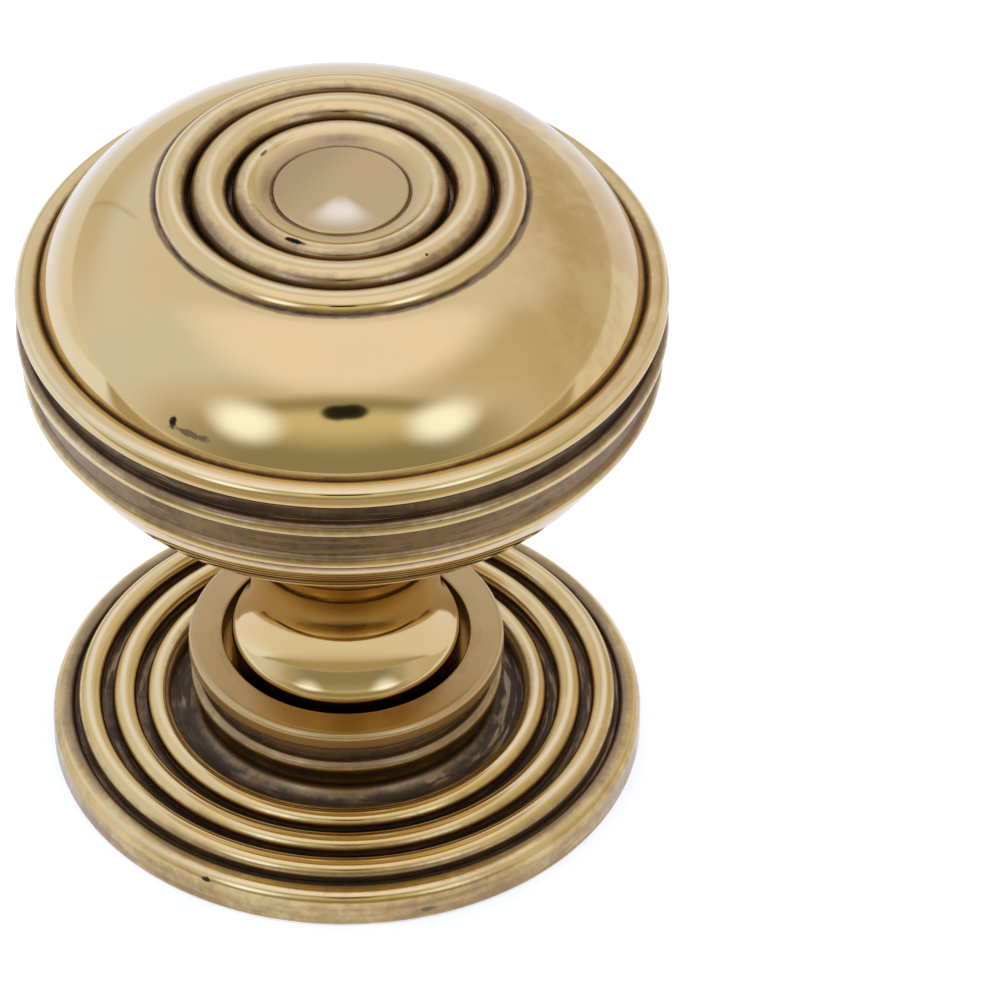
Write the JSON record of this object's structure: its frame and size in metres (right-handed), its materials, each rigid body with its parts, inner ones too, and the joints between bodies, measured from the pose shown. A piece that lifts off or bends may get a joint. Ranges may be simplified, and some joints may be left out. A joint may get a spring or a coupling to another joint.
{
  "type": "cabinet knob",
  "caption": "Round turned cabinet knob with a beaded domed head, a waisted neck and a separate reeded backplate whose collar holds the knob's foot.",
  "frame": {"origin": "centre of the backplate's flat back, where it meets the drawer front or door", "axes": "+Z along the turned axis, out of the drawer front towards the head of the knob; +X and +Y in the plane of the back"},
  "size_m": [0.0442, 0.0442, 0.0494],
  "materials": {
    "knob_brass": "polished, with dark tarnish in the grooves",
    "backplate_brass": "satin, worn bright on the crests and tarnished in the grooves"
  },
  "bodies": {
    "root": {"knob": "knob_brass", "backplate": "backplate_brass"}
  },
  "joints": []
}
